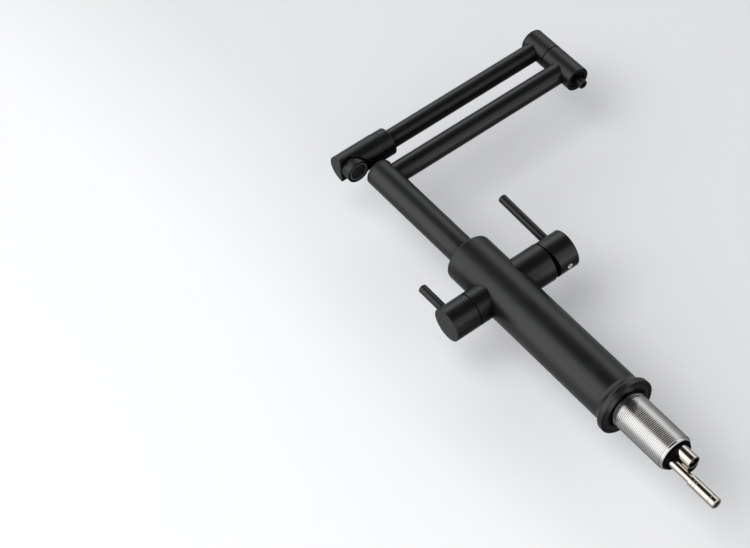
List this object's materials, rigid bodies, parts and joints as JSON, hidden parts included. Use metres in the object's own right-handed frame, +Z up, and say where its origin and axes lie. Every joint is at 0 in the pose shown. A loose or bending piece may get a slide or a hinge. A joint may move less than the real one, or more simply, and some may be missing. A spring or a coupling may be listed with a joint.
{
  "type": "drinking water faucet",
  "caption": "Kitchen tap for one deck hole: a column with a mixer lever and a drinking water lever, and a tall riser whose jointed spout folds back over itself.",
  "frame": {"origin": "On the column's axis, in the plane of the deck, which is the underside of the base flange and the upper end of the shank's outside.", "axes": "+Z is up along the column, +X points to the mixer's side and along the folded spout's lower arm, and the user stands on the -Y side."},
  "size_m": [0.2682, 0.053, 0.4749],
  "materials": {
    "matte_black": "fine matte black coating on brass",
    "satin_nickel": "satin nickel plating",
    "polished_nickel": "polished nickel plating",
    "brass": "turned brass",
    "black_rubber": "moulded rubber",
    "grey_rubber": "moulded rubber, dark grey with a slight sheen",
    "white_plastic": "moulded plastic",
    "white_ceramic": null,
    "bright_steel": "stainless steel",
    "grey_plastic": "moulded grey plastic",
    "dark_mesh": "fine dark steel mesh"
  },
  "bodies": {
    "column": {"base_flange": "matte_black", "base_gasket": "grey_rubber", "threaded_shank": "satin_nickel", "base_insert": "brass", "shank_plug": "black_rubber", "hot_inlet": "polished_nickel", "cold_inlet": "polished_nickel", "drinking_inlet": "polished_nickel", "drinking_sleeve": "polished_nickel", "column_shell": "matte_black", "valve_core": "brass", "swivel_bush": "white_plastic", "riser_seals": "black_rubber", "slip_washer": "white_plastic", "mixer_housing": "matte_black", "mixer_cartridge": "white_plastic", "mixer_seat_disc": "white_ceramic", "mixer_nut": "brass", "mixer_ball": "black_rubber", "drinking_housing": "matte_black", "drinking_cartridge": "white_plastic", "drinking_nut": "brass"},
    "mixer_rotor": {"mixer_rotor": "white_plastic", "mixer_pivot_pin": "bright_steel"},
    "mixer_handle": {"mixer_stem": "bright_steel", "mixer_cap": "matte_black", "mixer_lever": "matte_black", "mixer_grub": "bright_steel"},
    "drinking_handle": {"drinking_spindle": "brass", "drinking_cap": "matte_black", "drinking_lever": "matte_black", "drinking_grub": "bright_steel"},
    "riser": {"riser_tube": "matte_black", "riser_collar": "brass", "riser_cap": "matte_black", "lower_arm": "matte_black", "elbow_lower": "matte_black", "elbow_washer": "black_rubber", "elbow_spindle": "brass", "elbow_seals": "black_rubber", "spindle_clip": "bright_steel", "nozzle_plug": "matte_black", "drinking_nozzle": "matte_black", "drinking_hose": "white_plastic"},
    "upper_arm": {"elbow_upper": "matte_black", "elbow_cap": "matte_black", "upper_arm": "matte_black", "arm_end_ring": "brass"},
    "spout_head": {"spout_head": "matte_black", "collar_nut": "matte_black", "collar_seal": "black_rubber", "aerator_housing": "grey_plastic", "aerator_insert": "grey_plastic", "aerator_mesh": "dark_mesh", "aerator_gasket": "black_rubber"}
  },
  "joints": [
    {"name": "mixer_turn", "type": "hinge", "parent": "column", "child": "mixer_rotor", "pos_m": [0.0441, 0, 0.1562], "axis": [1, 0, 0], "range_deg": [-48, 42]},
    {"name": "mixer_tilt", "type": "hinge", "parent": "mixer_rotor", "child": "mixer_handle", "pos_m": [0.0441, 0, 0.1562], "axis": [0, 0.9986, 0.0523], "range_deg": [0, 16]},
    {"name": "drinking_turn", "type": "hinge", "parent": "column", "child": "drinking_handle", "pos_m": [-0.045, 0, 0.1562], "axis": [1, 0, 0], "range_deg": [0, 90]},
    {"name": "spout_swivel", "type": "hinge", "parent": "column", "child": "riser", "pos_m": [0, 0, 0.19], "axis": [0, 0, 1], "range_deg": [-180, 180]},
    {"name": "elbow_fold", "type": "hinge", "parent": "riser", "child": "upper_arm", "pos_m": [0.198, 0, 0.335], "axis": [0, 0, 1], "range_deg": [-180, 180]},
    {"name": "head_turn", "type": "hinge", "parent": "upper_arm", "child": "spout_head", "pos_m": [0.008, 0, 0.3484], "axis": [1, 0, 0], "range_deg": [-90, 90]}
  ]
}
